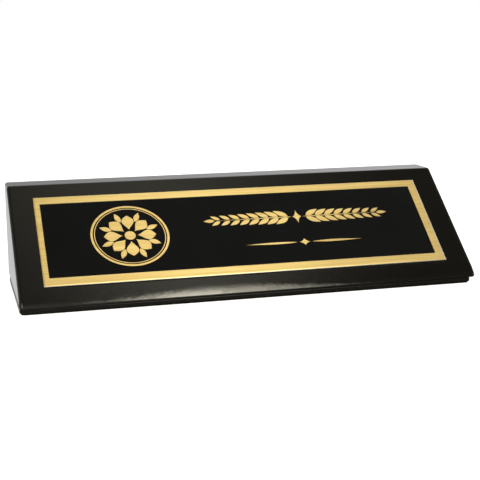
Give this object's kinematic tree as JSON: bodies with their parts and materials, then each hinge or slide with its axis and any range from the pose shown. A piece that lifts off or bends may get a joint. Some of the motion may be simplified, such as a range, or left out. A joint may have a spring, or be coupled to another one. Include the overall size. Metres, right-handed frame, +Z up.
{
  "type": "desk name plate",
  "caption": "Wedge-shaped desk name plate: a gloss lacquered wedge on a set-in felted base, with a brushed metal plate and an enamelled field on its slope.",
  "frame": {"origin": "on the desk, under the middle of the wedge's outline", "axes": "+X along the wedge to the reader's right, +Y from the sloping front to the upright back, +Z up"},
  "size_m": [0.2032, 0.0666, 0.0464],
  "materials": {
    "black_lacquer": "polished piano lacquer on wood fibreboard",
    "base_paint": "satin black paint on wood fibreboard",
    "felt": "pressed black felt, self-adhesive",
    "tape": "double-sided adhesive film",
    "brushed_gold": "satin, brushed along the length",
    "black_enamel": "screened satin enamel"
  },
  "bodies": {
    "root": {"wedge_body": "black_lacquer", "base_board": "base_paint", "felt_pad": "felt", "mounting_tape": "tape", "name_plate": "brushed_gold", "enamel_field": "black_enamel"}
  },
  "joints": []
}
